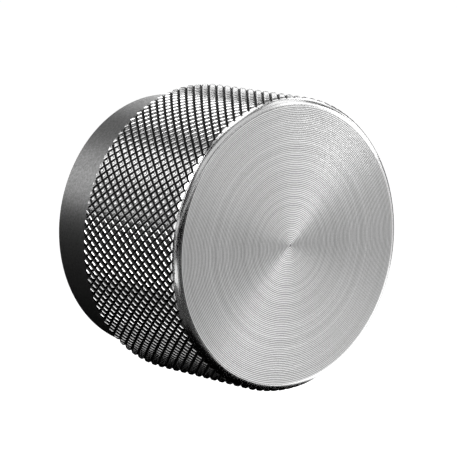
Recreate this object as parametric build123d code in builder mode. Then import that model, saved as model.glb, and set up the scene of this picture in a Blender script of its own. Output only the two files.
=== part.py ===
"""Turned cabinet knob with a diamond knurl round its head.

Frame: millimetres, as mounted on an upright cabinet front. The origin is the
centre of the back face, +Z is up, and the knob stands out along -Y, so its
flat face looks along -Y. Head and collar are one piece, turned from a bar
that is knurled first.
"""

import math
import os

from build123d import *

# ---- overall ----------------------------------------------------------------
PROJECTION = 21.0  # back face to front face
HEAD_R = 15.0  # over the tips of the knurl
HEAD_LEN = 14.4  # front face to the shoulder behind the knurl
COLLAR_R = 13.3  # smooth collar between the shoulder and the cabinet

# ---- edges ------------------------------------------------------------------
FACE_R = 14.15  # flat front face, inside the chamfer
CHAMFER_LEN = 0.90  # axial length of the chamfer, out to the tips
BACK_BREAK = 0.25  # edge break round the back face

# ---- diamond knurl ----------------------------------------------------------
KNURL_COUNT = 92  # diamonds round the head, 1.02 mm apart
KNURL_STEP = 1.20  # from diamond to diamond along the axis
KNURL_DEPTH = 0.30  # tip to groove

# ---- hole for an M4 screw ---------------------------------------------------
CORE_R = 1.65  # tapping drill
MOUTH_R = 2.10  # countersunk mouth
HOLE_DEPTH = 12.0  # to the end of the full bore
DRILL_POINT = 118.0  # degrees

# ---- stock ------------------------------------------------------------------
STOCK_R = HEAD_R + 1.0  # clear of the knurl, for the turning profile
STOCK_ROWS = 1  # half steps of knurled bar beyond each end

# ---- worked out -------------------------------------------------------------
FACE_Y = -PROJECTION
SHOULDER_Y = FACE_Y + HEAD_LEN
CHAMFER_SLOPE = CHAMFER_LEN / (HEAD_R - FACE_R)
CHAMFER_OUT_Y = FACE_Y + CHAMFER_SLOPE * (STOCK_R - FACE_R)
MOUTH_LEN = MOUTH_R - CORE_R
DRILL_TIP_LEN = CORE_R / math.tan(math.radians(DRILL_POINT / 2))


def knurl_corner(around, along):
    """Corner of the knurl's lattice.

    Args:
        around: half pitches round the rim.
        along: half steps along the axis, counted back from the front face.

    Returns:
        Vector: a tip where both counts are odd or both even, and otherwise
        the point where two grooves cross.
    """
    angle = math.pi * around / KNURL_COUNT
    radius = HEAD_R if (around + along) % 2 == 0 else HEAD_R - KNURL_DEPTH
    y = FACE_Y + along * KNURL_STEP / 2
    return Vector(radius * math.cos(angle), y, radius * math.sin(angle))


def knurled_bar():
    """Bar longer than the knob, with four-sided diamonds all round it.

    Returns:
        Solid: closed bar with flat ends.
    """
    corners = 2 * KNURL_COUNT
    steps = math.ceil(2 * PROJECTION / KNURL_STEP)
    first, last = -STOCK_ROWS, steps + STOCK_ROWS
    rows = [[knurl_corner(k, r) for k in range(corners)] for r in range(first, last + 1)]
    outlines = [rows[0], rows[-1]]
    for r, (near, far) in enumerate(zip(rows, rows[1:]), start=first):
        for k in range(corners):
            n = (k + 1) % corners
            # each cell is folded along the groove that crosses it
            if (k + r) % 2 == 0:
                outlines += [(near[k], near[n], far[k]), (near[n], far[n], far[k])]
            else:
                outlines += [(near[k], near[n], far[n]), (near[k], far[n], far[k])]
    facets = [Face(Wire.make_polygon(outline, close=True)) for outline in outlines]
    return Solid(Shell(facets))


os.makedirs("parts", exist_ok=True)

with BuildPart() as knob:
    add(knurled_bar(), clean=False)

    # one turning profile, from the face round the outside to the drill point
    with BuildSketch(Plane.XY):
        with BuildLine():
            Polyline(
                (0, FACE_Y),
                (FACE_R, FACE_Y),
                (STOCK_R, CHAMFER_OUT_Y),
                (STOCK_R, SHOULDER_Y),
                (COLLAR_R, SHOULDER_Y),
                (COLLAR_R, -BACK_BREAK),
                (COLLAR_R - BACK_BREAK, 0),
                (MOUTH_R, 0),
                (CORE_R, -MOUTH_LEN),
                (CORE_R, -HOLE_DEPTH),
                (0, -HOLE_DEPTH - DRILL_TIP_LEN),
                close=True,
            )
        make_face()
    revolve(axis=Axis.Y, mode=Mode.INTERSECT, clean=False)

knob.part.label = "knob"
export_step(knob.part, "parts/knob.step")
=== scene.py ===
"""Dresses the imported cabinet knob: knurled head, turned face and matte collar.

The knob is one turned piece, so one closed mesh stands for its CAD node. It
has the same outer size, with a round front edge, a finer cut of the knurl and
the thread in its hole. Lengths are millimetres until a mesh is finished.
"""

from __future__ import annotations

import logging
import math
from dataclasses import dataclass
from enum import Enum

import bmesh
import bpy
from mathutils import Matrix, Vector

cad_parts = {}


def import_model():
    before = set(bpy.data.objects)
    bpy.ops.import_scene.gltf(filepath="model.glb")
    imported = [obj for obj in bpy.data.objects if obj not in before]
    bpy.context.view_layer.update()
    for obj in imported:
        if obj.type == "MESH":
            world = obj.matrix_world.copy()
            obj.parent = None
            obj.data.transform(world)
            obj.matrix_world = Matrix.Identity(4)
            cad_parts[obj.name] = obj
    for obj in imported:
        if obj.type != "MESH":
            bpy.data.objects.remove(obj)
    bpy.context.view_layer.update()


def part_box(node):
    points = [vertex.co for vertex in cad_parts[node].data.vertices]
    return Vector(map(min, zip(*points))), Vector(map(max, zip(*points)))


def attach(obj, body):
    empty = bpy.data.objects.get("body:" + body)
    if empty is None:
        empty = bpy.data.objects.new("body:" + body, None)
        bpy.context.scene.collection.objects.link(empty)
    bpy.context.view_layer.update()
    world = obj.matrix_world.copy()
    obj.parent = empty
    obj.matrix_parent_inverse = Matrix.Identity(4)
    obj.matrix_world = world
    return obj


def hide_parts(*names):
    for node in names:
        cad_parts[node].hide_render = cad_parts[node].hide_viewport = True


LOG = logging.getLogger("cabinet_knob")
MM = 0.001
NODE = "knob"
TURN = 2 * math.pi
SHARP = math.radians(30)  # edges bent more than this stay crisp
MERGE = 1e-3  # points closer than this are one, in millimetres
ON_PLANE = 1e-5  # slack of a cut's plane, in millimetres
ON_EDGE = 1e-4  # slack within which a face counts as turned, in millimetres
RING_SHADE_SHARE = 0.7  # share of the turning marks in a finish's tone, which paints shade into the marks' grooves
TONE_RANGE = (0.3, 0.7)  # tones that span a finish's whole spread
GLOSS_TURN = 0.25  # turns from the tangent to the gloss


class Finish(Enum):
    """Finished surfaces of the knob, in the order of its material slots."""

    KNURL = 0
    EDGE = 1
    FACE = 2
    SHOULDER = 3
    COLLAR = 4
    BACK = 5
    THREAD = 6


# ---- meshes -----------------------------------------------------------------


def everything(bm: bmesh.types.BMesh) -> list[bmesh.types.BMVert | bmesh.types.BMEdge | bmesh.types.BMFace]:
    """Lists all of a mesh's geometry."""
    return bm.verts[:] + bm.edges[:] + bm.faces[:]


def paint(faces: list[bmesh.types.BMFace], finish: Finish, smooth: bool) -> None:
    """Gives faces their material slot and shading.

    Args:
        faces: faces to mark.
        finish: finish whose slot they take.
        smooth: whether their normals are blended.
    """
    for face in faces:
        face.material_index = finish.value
        face.smooth = smooth


def grow(
    bm: bmesh.types.BMesh,
    edges: list[bmesh.types.BMEdge],
    finish: Finish,
    stretch: float = 1.0,
    along: float = 0.0,
) -> list[bmesh.types.BMEdge]:
    """Extrudes a loop of edges about the knob's axis.

    Args:
        bm: mesh that holds the edges.
        edges: open loop to extrude.
        finish: finish of the new faces.
        stretch: new radius over the old one.
        along: how far the new loop moves along the axis.

    Returns:
        The edges of the new loop.
    """
    made = bmesh.ops.extrude_edge_only(bm, edges=edges)["geom"]
    verts = {g for g in made if isinstance(g, bmesh.types.BMVert)}
    paint([g for g in made if isinstance(g, bmesh.types.BMFace)], finish, smooth=True)
    bmesh.ops.scale(bm, vec=(stretch, 1, stretch), verts=list(verts))
    bmesh.ops.translate(bm, vec=(0, along, 0), verts=list(verts))
    return [g for g in made if isinstance(g, bmesh.types.BMEdge) and verts.issuperset(g.verts)]


def close(bm: bmesh.types.BMesh, edges: list[bmesh.types.BMEdge], finish: Finish, tip: Vector) -> None:
    """Closes a loop of edges onto one point.

    Args:
        bm: mesh that holds the edges.
        edges: open loop to close.
        finish: finish of the new faces.
        tip: point where they meet.
    """
    last = grow(bm, edges, finish)
    verts = list({v for e in last for v in e.verts})
    bmesh.ops.pointmerge(bm, verts=verts, merge_co=tip)


def cut(
    bm: bmesh.types.BMesh,
    point: Vector,
    normal: Vector,
    keep_all: bool = False,
) -> None:
    """Cuts a mesh with a plane.

    Args:
        bm: mesh to cut.
        point: point on the plane.
        normal: direction of the side that goes.
        keep_all: whether that side stays, so that the cut only adds edges.
    """
    bmesh.ops.bisect_plane(
        bm,
        geom=everything(bm),
        dist=ON_PLANE,
        plane_co=point,
        plane_no=normal,
        clear_outer=not keep_all,
    )


def open_loop(bm: bmesh.types.BMesh, y: float) -> list[bmesh.types.BMEdge]:
    """Finds the open edges at one place along the axis."""
    return [e for e in bm.edges if e.is_boundary and all(abs(v.co.y - y) < MERGE for v in e.verts)]


@dataclass(frozen=True)
class Thread:
    """Tapped hole for the fixing screw.

    Attributes:
        core_r: radius over the crests.
        root_r: radius at the bottom of the groove.
        mouth_r: radius of the countersink at the back face.
        depth: back face to the start of the drill's point.
        pitch: advance in one turn.
        crest: flat on top of the crest, over the pitch.
        root: flat at the bottom of the groove, over the pitch.
        runout: plain bore left below the thread.
        point_angle: angle of the drill's point in degrees.
        sides: sides of the round forms.
    """

    core_r: float = 1.65
    root_r: float = 1.98
    mouth_r: float = 2.1
    depth: float = 12.0
    pitch: float = 0.7
    crest: float = 0.24
    root: float = 0.14
    runout: float = 0.9
    point_angle: float = 118.0
    sides: int = 36

    @property
    def mouth_len(self) -> float:
        """Length of the 45 degree countersink."""
        return self.mouth_r - self.core_r

    @property
    def tip(self) -> Vector:
        """Bottom of the drill's point."""
        length = self.core_r / math.tan(math.radians(self.point_angle / 2))
        return Vector((0, -self.depth - length, 0))

    def helix(self, bm: bmesh.types.BMesh) -> None:
        """Adds the threaded wall, cut flat at both ends.

        Args:
            bm: mesh to add it to.
        """
        work = bmesh.new()
        flank = (1 - self.crest - self.root) / 2
        section = (
            (self.core_r, 0),
            (self.core_r, self.crest),
            (self.root_r, self.crest + flank),
            (self.root_r, self.crest + flank + self.root),
            (self.core_r, 1),
        )
        verts = [work.verts.new((r, y * self.pitch, 0)) for r, y in section]
        for first, second in zip(verts, verts[1:]):
            work.edges.new((first, second))
        turns = math.ceil(self.depth / self.pitch) + 1
        bmesh.ops.spin(
            work,
            geom=everything(work),
            cent=(0, 0, 0),
            axis=(0, -1, 0),
            dvec=(0, -self.pitch / self.sides, 0),
            angle=turns * TURN,
            steps=turns * self.sides,
        )
        bmesh.ops.remove_doubles(work, verts=work.verts, dist=MERGE)
        cut(work, Vector((0, -self.mouth_len, 0)), Vector((0, 1, 0)))
        cut(work, Vector((0, self.runout - self.depth, 0)), Vector((0, -1, 0)))
        paint(work.faces, Finish.THREAD, smooth=True)
        wall = bpy.data.meshes.new("thread_wall")
        work.to_mesh(wall)
        work.free()
        bm.from_mesh(wall)
        bpy.data.meshes.remove(wall)

    def circle(self, bm: bmesh.types.BMesh, radius: float, y: float) -> list[bmesh.types.BMEdge]:
        """Adds a ring of edges about the axis.

        Args:
            bm: mesh to add it to.
            radius: its radius.
            y: its place along the axis.

        Returns:
            Its edges.
        """
        place = Matrix.Translation((0, y, 0)) @ Matrix.Rotation(math.pi / 2, 4, "X")
        ring = bmesh.ops.create_circle(bm, segments=self.sides, radius=radius, matrix=place)["verts"]
        return list({e for v in ring for e in v.link_edges})

    def cut_hole(self, bm: bmesh.types.BMesh, back: list[bmesh.types.BMEdge]) -> None:
        """Makes the hole and joins it to the back face.

        Args:
            bm: mesh of the knob.
            back: open outer loop of the back face.
        """
        mouth = self.circle(bm, self.mouth_r, 0)
        flat = bmesh.ops.triangle_fill(bm, use_beauty=True, edges=back + mouth, normal=(0, 1, 0))
        paint([g for g in flat["geom"] if isinstance(g, bmesh.types.BMFace)], Finish.BACK, smooth=True)
        self.helix(bm)
        top = open_loop(bm, -self.mouth_len)
        cone = bmesh.ops.bridge_loops(bm, edges=mouth + top)["faces"]
        bottom = open_loop(bm, self.runout - self.depth)
        plain = 2 * self.runout / 3
        bore = self.circle(bm, self.core_r, plain - self.depth)
        neck = bmesh.ops.bridge_loops(bm, edges=bottom + bore)["faces"]
        paint(cone + neck, Finish.THREAD, smooth=True)
        bore = grow(bm, bore, Finish.THREAD, along=-plain)
        close(bm, bore, Finish.THREAD, self.tip)


@dataclass(frozen=True)
class Knurl:
    """Diamonds cut by two crossing sets of helical grooves.

    Attributes:
        count: diamonds round the rim.
        step: distance between rows along the axis.
        depth: land to groove.
        rises: width and height of each step from the groove up to the land.
    """

    count: int = 92
    step: float = 1.20
    depth: float = 0.20
    rises: tuple[tuple[float, float], ...] = ((0.12, 0.12), (0.07, 0.06), (0.08, 0.02))

    def diamond(self, bm: bmesh.types.BMesh, width: float) -> None:
        """Makes one diamond on the unrolled rim: X around, Y along, Z out.

        Args:
            bm: empty mesh to fill.
            width: size of the diamond round the rim.
        """
        bmesh.ops.create_circle(bm, cap_ends=True, segments=4, radius=1.0)
        bmesh.ops.scale(bm, vec=(width / 2, self.step / 2, 1), verts=bm.verts)
        bmesh.ops.translate(bm, vec=(0, 0, -self.depth), verts=bm.verts)
        land = next(iter(bm.faces))
        for inward, up in self.rises:
            bmesh.ops.inset_individual(bm, faces=[land], thickness=inward, use_even_offset=True)
            bmesh.ops.translate(bm, vec=(0, 0, up), verts=land.verts)

    def column(self, bm: bmesh.types.BMesh, width: float, length: float) -> None:
        """Makes a column of diamonds and their half-step neighbours.

        Args:
            bm: empty mesh to fill.
            width: size of a diamond round the rim.
            length: least length of the column.
        """
        self.diamond(bm, width)
        pair = bmesh.ops.duplicate(bm, geom=everything(bm))["geom"]
        fresh = [g for g in pair if isinstance(g, bmesh.types.BMVert)]
        bmesh.ops.translate(bm, vec=(width / 2, self.step / 2, 0), verts=fresh)
        bmesh.ops.spin(
            bm,
            geom=everything(bm),
            cent=(0, 0, 0),
            axis=(0, 0, 1),
            dvec=(0, self.step, 0),
            angle=0,
            steps=math.ceil(length / self.step) + 1,
            use_duplicate=True,
        )
        bmesh.ops.remove_doubles(bm, verts=bm.verts, dist=MERGE)
        paint(bm.faces, Finish.KNURL, smooth=False)


@dataclass(frozen=True)
class RoundedEdge:
    """Round edge turned from the face out through the front of the knurl.

    Attributes:
        face_r: radius of the flat face.
        round_r: radius of the rounding, which ends along the rim.
        run_out: slope in degrees, from the face, where the plain rings end and
            the pressed knurl begins.
        outer: slopes of the rounding's corners through the knurl.
        steps: rings of faces between the face and the pressed knurl.
    """

    face_r: float = 14.15
    round_r: float = 1.10
    run_out: float = 45.0
    outer: tuple[float, ...] = (90.0, 76.0, 65.0, 55.0, 45.0)
    steps: int = 7

    def place(self, head_r: float, slope: float) -> tuple[float, float]:
        """Finds a point of the rounding.

        Args:
            head_r: radius over the knurl.
            slope: its slope from the face, in degrees.

        Returns:
            Its radius and its distance behind the face.
        """
        centre_r = head_r - self.round_r
        start = self.round_r * math.cos(math.asin((self.face_r - centre_r) / self.round_r))
        angle = math.radians(slope)
        return centre_r + self.round_r * math.sin(angle), start - self.round_r * math.cos(angle)

    def press(self, bm: bmesh.types.BMesh, head_r: float, face_y: float) -> None:
        """Turns the unrolled knurl down to the rounding and ends it there.

        Args:
            bm: column of the knurl, changed in place.
            head_r: radius over the knurl.
            face_y: place of the face.
        """
        corners = [self.place(head_r, slope) for slope in self.outer]
        for (far_r, far_y), (near_r, near_y) in zip(corners, corners[1:]):
            rise = (far_r - near_r) / (far_y - near_y)
            near = Vector((0, face_y + near_y, near_r - head_r))
            cut(bm, near, Vector((0, -rise, 1)).normalized(), keep_all=True)
            for vert in bm.verts:
                level = near.z + (vert.co.y - near.y) * rise
                if vert.co.z > level - ON_PLANE:
                    vert.co.z = level
        cut(bm, near, Vector((0, -1, 0)))
        for face in bm.faces:
            if all(v.co.z >= self.height(corners, head_r, v.co.y - face_y) - ON_EDGE for v in face.verts):
                paint([face], Finish.EDGE, smooth=True)

    @staticmethod
    def height(corners: list[tuple[float, float]], head_r: float, y: float) -> float:
        """Finds the height of the turned edge over the rim.

        Args:
            corners: radius and place of each corner of the rounding.
            head_r: radius over the knurl.
            y: distance behind the face.

        Returns:
            The height, which is negative below the rim.
        """
        lines = zip(corners, corners[1:])
        return min(
            near_r - head_r + (y - near_y) * (far_r - near_r) / (far_y - near_y)
            for (far_r, far_y), (near_r, near_y) in lines
        )

    def turn(self, bm: bmesh.types.BMesh, head_r: float, face_y: float) -> list[bmesh.types.BMEdge]:
        """Adds the rest of the rounding, ring by ring, up to the face.

        Args:
            bm: mesh of the knob.
            head_r: radius over the knurl.
            face_y: place of the face.

        Returns:
            The loop at the edge of the face.
        """
        flat = math.degrees(math.asin((self.face_r - head_r + self.round_r) / self.round_r))
        slopes = [self.run_out + (flat - self.run_out) * n / self.steps for n in range(self.steps + 1)]
        radius, y = self.place(head_r, self.run_out)
        loop = open_loop(bm, face_y + y)
        for slope in slopes[1:]:
            next_radius, next_y = self.place(head_r, slope)
            loop = grow(bm, loop, Finish.EDGE, next_radius / radius, next_y - y)
            radius, y = next_radius, next_y
        return loop


@dataclass
class Knob:
    """The whole knob, turned from one bar.

    Attributes:
        head_r: radius over the knurl.
        projection: back face to front face.
        head_len: length of the head, with its edge.
        collar_r: radius of the collar behind it.
        back_break: width of the broken edge round the back face.
        face_rings: radii of the rings of faces on the flat front.
        pip_r: radius of the hollow that the turning leaves at the centre.
        pip_depth: its depth.
        pip_floor: radius of its flat bottom over its own radius.
        knurl: pattern on the rim.
        edge: round edge between the face and the rim.
        thread: hole in the back.
    """

    head_r: float
    projection: float
    head_len: float = 14.4
    collar_r: float = 13.3
    back_break: float = 0.25
    face_rings: tuple[float, ...] = (13.9, 11.0, 7.0, 3.0, 1.0, 0.24)
    pip_r: float = 0.16
    pip_depth: float = 0.05
    pip_floor: float = 0.5
    knurl: Knurl = Knurl()
    edge: RoundedEdge = RoundedEdge()
    thread: Thread = Thread()

    @property
    def face_y(self) -> float:
        """Place of the front face."""
        return -self.projection

    @property
    def shoulder_y(self) -> float:
        """Place of the shoulder behind the knurl."""
        return self.face_y + self.head_len

    def turn_head(self, bm: bmesh.types.BMesh) -> None:
        """Makes the knurled rim, with the round edge at its front turned through it.

        Args:
            bm: empty mesh to fill.
        """
        count = self.knurl.count
        self.knurl.column(bm, TURN * self.head_r / count, self.head_len)
        bmesh.ops.translate(bm, vec=(0, self.face_y, 0), verts=bm.verts)
        self.edge.press(bm, self.head_r, self.face_y)
        cut(bm, Vector((0, self.shoulder_y, 0)), Vector((0, 1, 0)))
        for vert in bm.verts:
            angle = vert.co.x / self.head_r
            radius = self.head_r + vert.co.z
            vert.co = (radius * math.cos(angle), vert.co.y, radius * math.sin(angle))
        bmesh.ops.spin(
            bm,
            geom=everything(bm),
            cent=(0, 0, 0),
            axis=(0, 1, 0),
            angle=TURN * (count - 1) / count,
            steps=count - 1,
            use_duplicate=True,
        )
        bmesh.ops.remove_doubles(bm, verts=bm.verts, dist=MERGE)

    def turn_face(self, bm: bmesh.types.BMesh, loop: list[bmesh.types.BMEdge]) -> None:
        """Closes the front with the flat face and the hollow at its centre.

        Args:
            bm: mesh of the knob.
            loop: edge of the face.
        """
        radius = self.edge.face_r
        for ring in (*self.face_rings, self.pip_r):
            loop = grow(bm, loop, Finish.FACE, ring / radius)
            radius = ring
        loop = grow(bm, loop, Finish.FACE, self.pip_floor, self.pip_depth)
        close(bm, loop, Finish.FACE, Vector((0, self.face_y + self.pip_depth, 0)))

    def turn_collar(self, bm: bmesh.types.BMesh) -> list[bmesh.types.BMEdge]:
        """Adds the shoulder and the collar with its broken back edge.

        Args:
            bm: mesh of the knob.

        Returns:
            The outer loop of the back face.
        """
        loop = grow(bm, open_loop(bm, self.shoulder_y), Finish.SHOULDER)
        for vert in {v for e in loop for v in e.verts}:
            foot = Vector((vert.co.x, 0, vert.co.z)).normalized() * self.collar_r
            vert.co = (foot.x, vert.co.y, foot.z)
        loop = grow(bm, loop, Finish.COLLAR, along=-self.shoulder_y - self.back_break)
        stretch = 1 - self.back_break / self.collar_r
        return grow(bm, loop, Finish.COLLAR, stretch, self.back_break)

    def build(self) -> bpy.types.Object:
        """Builds the closed mesh of the knob.

        Returns:
            The knob's object, in metres, at the origin of the frame.
        """
        bm = bmesh.new()
        self.turn_head(bm)
        self.turn_face(bm, self.edge.turn(bm, self.head_r, self.face_y))
        self.thread.cut_hole(bm, self.turn_collar(bm))
        bmesh.ops.recalc_face_normals(bm, faces=bm.faces)
        if bm.calc_volume(signed=True) < 0:
            bmesh.ops.reverse_faces(bm, faces=bm.faces)
        for edge in bm.edges:
            one_finish = len({f.material_index for f in edge.link_faces}) == 1
            edge.smooth = one_finish and edge.calc_face_angle() < SHARP
        bmesh.ops.scale(bm, vec=(MM, MM, MM), verts=bm.verts)
        mesh = bpy.data.meshes.new("turned_knob")
        bm.to_mesh(mesh)
        open_edges = sum(e.is_boundary for e in bm.edges)
        LOG.info("turned_knob: %d faces, %d open edges", len(bm.faces), open_edges)
        bm.free()
        piece = bpy.data.objects.new("turned_knob", mesh)
        bpy.context.scene.collection.objects.link(piece)
        return piece


# ---- shader groups ----------------------------------------------------------


class Nodes:
    """Short helper that adds and links nodes in one tree."""

    def __init__(self, tree: bpy.types.NodeTree) -> None:
        """Takes the tree to build in."""
        self.tree = tree

    def add(self, kind: str, **settings: object) -> bpy.types.Node:
        """Adds a node.

        Args:
            kind: node type, without the ShaderNode prefix.
            settings: properties to set on it.

        Returns:
            The new node.
        """
        node = self.tree.nodes.new("ShaderNode" + kind)
        for name, value in settings.items():
            setattr(node, name, value)
        return node

    def put(self, node: bpy.types.Node, name: str | int, value: object) -> None:
        """Sets an input, or links it when the value is a socket.

        Args:
            node: node to change.
            name: name or number of its input.
            value: plain value or socket.
        """
        if isinstance(value, bpy.types.NodeSocket):
            self.tree.links.new(value, node.inputs[name])
        else:
            node.inputs[name].default_value = value

    def math(self, operation: str, *values: object) -> bpy.types.NodeSocket:
        """Adds a Math node.

        Args:
            operation: its operation.
            values: its inputs, numbers or sockets.

        Returns:
            The result's socket.
        """
        node = self.add("Math", operation=operation)
        for n, value in enumerate(values):
            self.put(node, n, value)
        return node.outputs[0]

    def mix(self, factor: object, low: object, high: object) -> bpy.types.NodeSocket:
        """Mixes two colours.

        Args:
            factor: share of the second colour.
            low: first colour.
            high: second colour.

        Returns:
            The mixed colour's socket.
        """
        node = self.add("Mix", data_type="RGBA")  # its colours are inputs 6 and 7, and output 2
        self.put(node, 0, factor)
        self.put(node, 6, low)
        self.put(node, 7, high)
        return node.outputs[2]

    def remap(
        self, value: object, low: float, high: float, to_low: float, to_high: float
    ) -> bpy.types.NodeSocket:
        """Maps one range smoothly and clamped onto another.

        Args:
            value: value to map.
            low: start of its range.
            high: end of its range.
            to_low: result at the start.
            to_high: result at the end.

        Returns:
            The result's socket.
        """
        node = self.add("MapRange", interpolation_type="SMOOTHSTEP")
        for n, v in enumerate((value, low, high, to_low, to_high)):
            self.put(node, n, v)
        return node.outputs[0]


def new_group(
    name: str, inputs: dict[str, tuple[str, object]], outputs: dict[str, str]
) -> tuple[bpy.types.NodeTree, Nodes, bpy.types.Node, bpy.types.Node]:
    """Starts a shader node group.

    Args:
        name: the group's name.
        inputs: socket type and default of each input.
        outputs: socket type of each output.

    Returns:
        The group, its helper, its input node and its output node.
    """
    group = bpy.data.node_groups.new(name, "ShaderNodeTree")
    for title, (kind, default) in inputs.items():
        socket = group.interface.new_socket(title, in_out="INPUT", socket_type="NodeSocket" + kind)
        if default is not None:
            socket.default_value = default
    for title, kind in outputs.items():
        group.interface.new_socket(title, in_out="OUTPUT", socket_type="NodeSocket" + kind)
    source = group.nodes.new("NodeGroupInput")
    sink = group.nodes.new("NodeGroupOutput")
    return group, Nodes(group), source, sink


def radius_of(n: Nodes, place: bpy.types.NodeSocket) -> bpy.types.NodeSocket:
    """Measures the distance from the knob's axis.

    Args:
        n: helper of the tree.
        place: position on the knob.

    Returns:
        The distance's socket, in metres.
    """
    split = n.add("SeparateXYZ")
    n.put(split, 0, place)
    across = n.math("MULTIPLY", split.outputs["X"], split.outputs["X"])
    return n.math("SQRT", n.math("MULTIPLY_ADD", split.outputs["Z"], split.outputs["Z"], across))


def turning_group() -> bpy.types.NodeTree:
    """Concentric tool marks about the knob's axis.

    Returns:
        A group whose Height is the marks' section, from 0 to 1.
    """
    slow_rate, fine_rate, fine_share = 0.31, 2.7, 0.3  # noise cells a mark, and share of the height
    group, n, source, sink = new_group(
        "turning_marks",
        {
            "Vector": ("Vector", None),
            "Pitch": ("Float", 0.00018),
            "Wander": ("Float", 0.25),
        },
        {"Height": "Float"},
    )
    radius = radius_of(n, source.outputs["Vector"])
    turns = n.math("DIVIDE", radius, source.outputs["Pitch"])
    slow = n.add("TexNoise", noise_dimensions="1D")
    n.put(slow, "W", n.math("MULTIPLY", turns, slow_rate))
    n.put(slow, "Detail", 3.0)
    wander = n.math("MULTIPLY", slow.outputs[0], source.outputs["Wander"])
    phase = n.math("MULTIPLY", n.math("ADD", turns, wander), TURN)
    wave = n.math("MULTIPLY_ADD", n.math("SINE", phase), 0.5, 0.5)
    fine = n.add("TexNoise", noise_dimensions="1D")
    n.put(fine, "W", n.math("MULTIPLY", turns, fine_rate))
    n.put(fine, "Detail", 2.0)
    coarse = n.math("MULTIPLY", wave, 1 - fine_share)
    n.put(sink, "Height", n.math("ADD", coarse, n.math("MULTIPLY", fine.outputs[0], fine_share)))
    return group


def grain_group() -> bpy.types.NodeTree:
    """Fine even grain of a matte surface.

    Returns:
        A group whose Height is the grain and whose Tone adds a broader cloud.
    """
    cloud_rate = 0.4  # the cloud's frequency over the grain's
    group, n, source, sink = new_group(
        "matte_grain",
        {"Vector": ("Vector", None), "Size": ("Float", 0.0001)},
        {"Height": "Float", "Tone": "Float"},
    )
    scale = n.math("DIVIDE", 1.0, source.outputs["Size"])
    grain = n.add("TexNoise")
    n.put(grain, "Vector", source.outputs["Vector"])
    n.put(grain, "Scale", scale)
    n.put(grain, "Detail", 2.0)
    n.put(grain, "Roughness", 0.6)
    cloud = n.add("TexNoise")
    n.put(cloud, "Vector", source.outputs["Vector"])
    n.put(cloud, "Scale", n.math("MULTIPLY", scale, cloud_rate))
    n.put(cloud, "Detail", 3.0)
    n.put(sink, "Height", grain.outputs[0])
    n.put(sink, "Tone", n.math("MULTIPLY", n.math("ADD", grain.outputs[0], cloud.outputs[0]), 0.5))
    return group


# ---- finishes ---------------------------------------------------------------


@dataclass(frozen=True)
class Steel:
    """One finish of the knob's steel.

    Attributes:
        name: material name.
        shade: base colour, linear grey.
        spread: how far the tone varies about it, by random grain and, with
        turning marks, by painted shade in the marks' grooves.
        roughness: mean roughness.
        roughness_spread: how far the roughness varies.
        marks: pitch of the turning marks in metres, or 0 for none.
        marks_depth: height of the turning marks in metres.
        grain: size of the grain in metres.
        grain_depth: height of the grain in metres.
        brushing: strength of the directional gloss across the marks.
        hollow: radii in metres below which the grooves take the painted shade
            in full and above which the steel's own colour begins, or None where
            nothing is cut in.
        groove_painted_shade: painted shade in the grooves, a near-black base colour
            that stands in for their shadow, linear grey.
        hollow_roughness: roughness that the grooves add.
    """

    name: str
    shade: float
    spread: float
    roughness: float
    roughness_spread: float = 0.05
    marks: float = 0.0
    marks_depth: float = 0.0
    grain: float = 0.0001
    grain_depth: float = 0.0
    brushing: float = 0.0
    hollow: tuple[float, float] | None = None
    # painted shade: a near-black base colour that darkens the grooves as their shadow would
    groove_painted_shade: float = 0.02
    hollow_roughness: float = 0.3

    def material(self, turning: bpy.types.NodeTree, grain: bpy.types.NodeTree) -> bpy.types.Material:
        """Builds the finish's material.

        Args:
            turning: group of turning marks.
            grain: group of matte grain.

        Returns:
            The material.
        """
        material = bpy.data.materials.new(self.name)
        material.use_nodes = True
        tree = material.node_tree
        n = Nodes(tree)
        shader = tree.nodes["Principled BSDF"]
        place = n.add("TexCoord").outputs["Object"]
        fine = n.add("Group", node_tree=grain)
        n.put(fine, "Vector", place)
        n.put(fine, "Size", self.grain)
        tone = fine.outputs["Tone"]
        bump = n.add("Bump")
        n.put(bump, "Height", fine.outputs["Height"])
        n.put(bump, "Distance", self.grain_depth)
        normal = bump.outputs[0]
        if self.marks:
            rings = n.add("Group", node_tree=turning)
            n.put(rings, "Vector", place)
            n.put(rings, "Pitch", self.marks)
            ridge = n.add("Bump")
            n.put(ridge, "Height", rings.outputs["Height"])
            n.put(ridge, "Distance", self.marks_depth)
            n.put(ridge, "Normal", normal)
            normal = ridge.outputs[0]
            # Painted shade: the turning marks' height darkens the colour in their grooves, standing in for
            # the light and shade on the marks' flanks; it is mixed with the grain's random tone.
            tone = n.math(
                "ADD",
                n.math("MULTIPLY", tone, 1 - RING_SHADE_SHARE),
                n.math("MULTIPLY", rings.outputs["Height"], RING_SHADE_SHARE),
            )
        low, high = self.shade - self.spread, self.shade + self.spread
        weight = n.remap(tone, *TONE_RANGE, 0.0, 1.0)
        colour = n.mix(weight, (low, low, low, 1), (high, high, high, 1))
        dull, keen = self.roughness + self.roughness_spread, self.roughness - self.roughness_spread
        roughness = n.remap(tone, *TONE_RANGE, dull, keen)
        # Painted shade: below the hollow radii the base colour fades to near black, standing in for the
        # grooves' shadow; the grooves are also made rougher.
        if self.hollow:
            unshaded = n.remap(radius_of(n, place), *self.hollow, 0.0, 1.0)
            colour = n.mix(unshaded, (self.groove_painted_shade,) * 3 + (1.0,), colour)
            extra = n.remap(unshaded, 0.0, 1.0, self.hollow_roughness, 0.0)
            roughness = n.math("ADD", roughness, extra)
        n.put(shader, "Base Color", colour)
        n.put(shader, "Roughness", roughness)
        n.put(shader, "Metallic", 1.0)
        n.put(shader, "Normal", normal)
        if self.brushing:
            n.put(shader, "Anisotropic", self.brushing)
            n.put(shader, "Anisotropic Rotation", GLOSS_TURN)
            tangent = n.add("Tangent", direction_type="RADIAL", axis="Y")
            n.put(shader, "Tangent", tangent.outputs[0])
        return material


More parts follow.
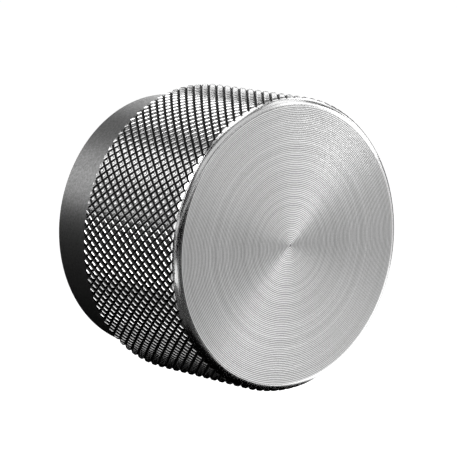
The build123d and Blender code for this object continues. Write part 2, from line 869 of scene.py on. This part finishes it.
FINISHES: dict[Finish, Steel] = {
    Finish.KNURL: Steel(
        "steel_knurled",
        0.70,
        0.03,
        0.2,
        grain=0.00012,
        grain_depth=0.000002,
        # the knurl's grooves take painted shade below these radii
        hollow=(0.01489, 0.01497),
    ),
    Finish.EDGE: Steel(
        "steel_edge", 0.7, 0.04, 0.2, marks=0.00015, marks_depth=0.000004, brushing=0.4
    ),
    Finish.FACE: Steel(
        "steel_face",
        0.49,
        0.22,
        0.42,
        marks=0.00018,
        marks_depth=0.000012,
        grain=0.00014,
        grain_depth=0.000002,
        brushing=0.86,
    ),
    Finish.SHOULDER: Steel("steel_shoulder", 0.4, 0.04, 0.4, marks=0.00015, marks_depth=0.000004),
    Finish.COLLAR: Steel("steel_collar", 0.25, 0.07, 0.38, grain=0.0001, grain_depth=0.000008),
    Finish.BACK: Steel("steel_back", 0.45, 0.04, 0.42, marks=0.0002, marks_depth=0.000005),
    Finish.THREAD: Steel("steel_thread", 0.5, 0.04, 0.3),
}


# ---- studio -----------------------------------------------------------------


@dataclass(frozen=True)
class Softbox:
    """Rectangular lamp that looks at the knob.

    Attributes:
        name: object name.
        azimuth: degrees from the front, positive towards +X.
        elevation: degrees above the horizon.
        distance: metres from the knob.
        width: metres.
        height: metres.
        radiance: brightness of its surface, in proportion to the others.
    """

    name: str
    azimuth: float
    elevation: float
    distance: float
    width: float
    height: float
    radiance: float

    def build(self, target: Vector) -> None:
        """Adds the lamp.

        Args:
            target: point it faces.
        """
        lamp = bpy.data.lights.new(self.name, "AREA")
        lamp.shape = "RECTANGLE"
        lamp.size = self.width
        lamp.size_y = self.height
        lamp.energy = self.radiance * math.pi * self.width * self.height
        obj = bpy.data.objects.new(self.name, lamp)
        bpy.context.scene.collection.objects.link(obj)
        obj.matrix_world = looking(target, self.azimuth, self.elevation, self.distance)


def looking(target: Vector, azimuth: float, elevation: float, distance: float) -> Matrix:
    """Places an object that looks at a point.

    Args:
        target: point to look at.
        azimuth: degrees from -Y towards +X.
        elevation: degrees above the horizon.
        distance: metres from the target.

    Returns:
        The object's matrix, which looks along its own -Z.
    """
    a, e = math.radians(azimuth), math.radians(elevation)
    away = Vector((math.sin(a) * math.cos(e), -math.cos(a) * math.cos(e), math.sin(e)))
    turn = away.to_track_quat("Z", "Y").to_matrix().to_4x4()
    return Matrix.Translation(target + away * distance) @ turn


@dataclass(frozen=True)
class Viewpoint:
    """Camera, set by where the middle of the knob's face appears.

    Attributes:
        azimuth: degrees from the front, positive towards +X.
        elevation: degrees above the horizon.
        distance: from lens to face, in head radii.
        right: face centre right of the view's middle, in head radii.
        down: face centre below the view's middle, in head radii.
        lens: focal length in millimetres.
        sensor: width of the camera's frame in millimetres.
        clip: nearest and farthest distances seen, in metres.
    """

    azimuth: float = -40.51
    elevation: float = 9.64
    distance: float = 20.93
    right: float = 0.4116
    down: float = 0.1011
    lens: float = 244.03
    sensor: float = 36.0
    clip: tuple[float, float] = (0.01, 10.0)

    def build(self, face: Vector, head_r: float) -> None:
        """Adds the camera.

        Args:
            face: middle of the knob's face.
            head_r: radius of the head.
        """
        data = bpy.data.cameras.new("camera")
        data.lens = self.lens
        data.sensor_width = self.sensor
        data.clip_start, data.clip_end = self.clip
        obj = bpy.data.objects.new("camera", data)
        bpy.context.scene.collection.objects.link(obj)
        pose = looking(face, self.azimuth, self.elevation, self.distance * head_r)
        shift = pose.to_3x3() @ Vector((-self.right, self.down, 0)) * head_r
        obj.matrix_world = Matrix.Translation(shift) @ pose
        bpy.context.scene.camera = obj


def white_for_view(n: Nodes, white: object, lit: object) -> bpy.types.NodeSocket:
    """Shows white to the camera and in reflections, and something else to light.

    Args:
        n: helper of the tree.
        white: shader seen directly, in gloss and through glass.
        lit: shader for everything else.

    Returns:
        The mixed shader's socket.
    """
    path = n.add("LightPath")
    seen = n.math("MAXIMUM", path.outputs["Is Camera Ray"], path.outputs["Is Glossy Ray"])
    seen = n.math("MAXIMUM", seen, path.outputs["Is Transmission Ray"])
    mix = n.add("MixShader")
    n.put(mix, 0, seen)
    n.put(mix, 1, lit)
    n.put(mix, 2, white)
    return mix.outputs[0]


@dataclass(frozen=True)
class Card:
    """Dark card that keeps light out of the metal's reflections.

    Attributes:
        name: object name.
        azimuth: degrees from the front, positive towards +X.
        elevation: degrees above the horizon.
        distance: metres from the knob.
        width: metres.
        height: metres.
        shade: how much light its felt gives back.
    """

    name: str
    azimuth: float
    elevation: float
    distance: float
    width: float
    height: float
    shade: float = 0.0

    def felt(self) -> bpy.types.Material:
        """Makes the card's dull dark material.

        Returns:
            The material.
        """
        material = bpy.data.materials.new(f"{self.name}_felt")
        material.use_nodes = True
        tree = material.node_tree
        tree.nodes.clear()
        n = Nodes(tree)
        felt = n.add("BsdfDiffuse")
        n.put(felt, "Color", (self.shade,) * 3 + (1.0,))
        out = n.add("OutputMaterial")
        n.put(out, 0, felt.outputs[0])
        return material

    def build(self, target: Vector) -> None:
        """Adds the card, which only reflections see.

        Args:
            target: point it faces.
        """
        bm = bmesh.new()
        bmesh.ops.create_grid(bm, x_segments=2, y_segments=2, size=0.5)
        bmesh.ops.scale(bm, vec=(self.width, self.height, 1), verts=bm.verts)
        place = looking(target, self.azimuth, self.elevation, self.distance)
        bmesh.ops.transform(bm, matrix=place, verts=bm.verts)
        mesh = bpy.data.meshes.new(self.name)
        bm.to_mesh(mesh)
        bm.free()
        mesh.materials.append(self.felt())
        obj = bpy.data.objects.new(self.name, mesh)
        bpy.context.scene.collection.objects.link(obj)
        obj.visible_camera = obj.visible_diffuse = obj.visible_shadow = False
        obj.visible_transmission = False


@dataclass(frozen=True)
class Studio:
    """White surroundings, floor, lamps, dark cards and camera round the knob.

    Attributes:
        floor_z: height of the floor in metres.
        floor_size: its width in metres.
        floor_shade: its colour, linear grey.
        floor_glow: light added to it where it is seen directly or in a reflection.
        ambient: strength of the surroundings as light.
        softboxes: the lamps.
        cards: the dark cards.
        viewpoint: the camera.
    """

    floor_z: float = -0.12
    floor_size: float = 6.0
    floor_shade: float = 0.8
    floor_glow: float = 0.78
    ambient: float = 0.28
    softboxes: tuple[Softbox, ...] = (
        Softbox("softbox_left", -93.0, 42.0, 0.40, 0.24, 0.26, 7.0),
        Softbox("softbox_side", -91.0, 2.0, 0.42, 0.07, 0.17, 1.9),
        Softbox("softbox_low_left", -91.0, -24.0, 0.15, 0.032, 0.10, 1.3),
        Softbox("softbox_back_left", -146.0, 25.0, 0.45, 0.26, 0.24, 1.55),
        Softbox("softbox_high_left", -174.0, 42.0, 0.45, 0.20, 0.16, 0.4),
        Softbox("softbox_high_far", 150.0, 29.0, 0.45, 0.18, 0.16, 1.1),
        Softbox("softbox_top", 60.0, 84.0, 0.40, 0.30, 0.22, 1.8),
        Softbox("softbox_front_top", 3.0, 40.0, 0.45, 0.50, 0.24, 0.8),
        Softbox("softbox_right", 65.0, 12.0, 0.45, 0.12, 0.14, 5.2),
        Softbox("softbox_right_top", 52.0, 30.0, 0.45, 0.16, 0.14, 2.1),
        Softbox("softbox_far_right", 98.0, 26.0, 0.50, 0.10, 0.40, 1.7),
        Softbox("softbox_high_right", 66.0, 50.0, 0.45, 0.18, 0.16, 1.5),
        Softbox("softbox_high_back", 107.0, 42.0, 0.45, 0.12, 0.28, 1.5),
        Softbox("softbox_back", 144.0, 12.0, 0.55, 0.24, 0.14, 1.0),
    )
    cards: tuple[Card, ...] = (
        Card("card_front", -20.0, -6.0, 0.60, 0.85, 0.40),
        Card("card_low_front", -9.0, -25.0, 0.12, 0.10, 0.085, 0.055),
        Card("card_back_left", -145.0, 0.0, 0.60, 0.70, 0.50),
        Card("card_back_right", 147.0, -15.5, 0.25, 0.35, 0.19),
        Card("card_right", 118.0, 8.0, 0.50, 0.235, 0.33),
        Card("card_far_right", 104.0, -5.0, 0.35, 0.16, 0.115),
        Card("card_side", -73.0, -6.0, 0.35, 0.16, 0.20),
        Card("card_behind_side", -107.0, -5.0, 0.45, 0.15, 0.25),
        Card("card_back", 178.0, 10.0, 0.60, 0.32, 0.20),
        Card("card_low_left", -53.0, -40.0, 0.13, 0.15, 0.09, 0.055),
        Card("card_low_side", -99.0, -29.0, 0.165, 0.16, 0.10),
        Card("card_below", 180.0, -75.0, 0.06, 0.12, 0.24),
        Card("card_below_back", -165.0, -45.0, 0.08, 0.20, 0.12),
        Card("card_ceiling", 0.0, 89.0, 0.50, 3.0, 3.0),
    )
    viewpoint: Viewpoint = Viewpoint()

    def world(self) -> None:
        """Makes the white surroundings."""
        world = bpy.data.worlds.new("studio_white")
        bpy.context.scene.world = world
        world.use_nodes = True
        tree = world.node_tree
        tree.nodes.clear()
        n = Nodes(tree)
        white, ambient = n.add("Background"), n.add("Background")
        for background, strength in ((white, 1.0), (ambient, self.ambient)):
            n.put(background, "Color", (1.0, 1.0, 1.0, 1.0))
            n.put(background, "Strength", strength)
        out = n.add("OutputWorld")
        n.put(out, 0, white_for_view(n, white.outputs[0], ambient.outputs[0]))

    def floor(self) -> None:
        """Lays the white floor below the knob; it still takes a shadow."""
        bm = bmesh.new()
        bmesh.ops.create_grid(bm, x_segments=8, y_segments=8, size=self.floor_size / 2)
        bmesh.ops.translate(bm, vec=(0, 0, self.floor_z), verts=bm.verts)
        mesh = bpy.data.meshes.new("floor")
        bm.to_mesh(mesh)
        bm.free()
        obj = bpy.data.objects.new("floor", mesh)
        bpy.context.scene.collection.objects.link(obj)
        material = bpy.data.materials.new("floor_white")
        material.use_nodes = True
        tree = material.node_tree
        tree.nodes.clear()
        n = Nodes(tree)
        paper, glow, both = n.add("BsdfDiffuse"), n.add("Emission"), n.add("AddShader")
        n.put(paper, "Color", (self.floor_shade,) * 3 + (1.0,))
        n.put(glow, "Strength", self.floor_glow)
        n.put(both, 0, paper.outputs[0])
        n.put(both, 1, glow.outputs[0])
        out = n.add("OutputMaterial")
        n.put(out, 0, white_for_view(n, both.outputs[0], paper.outputs[0]))
        mesh.materials.append(material)

    def build(self, lowest: Vector, highest: Vector) -> None:
        """Builds the whole studio.

        Args:
            lowest: lowest corner of the knob.
            highest: highest corner of the knob.
        """
        middle = (lowest + highest) / 2
        self.world()
        self.floor()
        for softbox in self.softboxes:
            softbox.build(middle)
        for card in self.cards:
            card.build(middle)
        face = Vector((middle.x, lowest.y, middle.z))
        self.viewpoint.build(face, (highest.x - lowest.x) / 2)
        bpy.context.scene.view_settings.view_transform = "Standard"


# ---- all together -----------------------------------------------------------


def corners(box: tuple[Vector, Vector]) -> list[list[float]]:
    """Turns a box into plain lists."""
    return [list(corner) for corner in box]


def main() -> None:
    """Builds the knob and the studio round it."""
    logging.basicConfig(level=logging.INFO, format="%(name)s: %(message)s")
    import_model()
    lowest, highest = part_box(NODE)
    knob = Knob(head_r=(highest.x - lowest.x) / 2 / MM, projection=(highest.y - lowest.y) / MM)
    piece = knob.build()
    turning, grain = turning_group(), grain_group()
    for finish in Finish:
        piece.data.materials.append(FINISHES[finish].material(turning, grain))
    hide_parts(NODE)
    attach(piece, "root")
    Studio().build(lowest, highest)


if __name__ == "__main__":
    main()
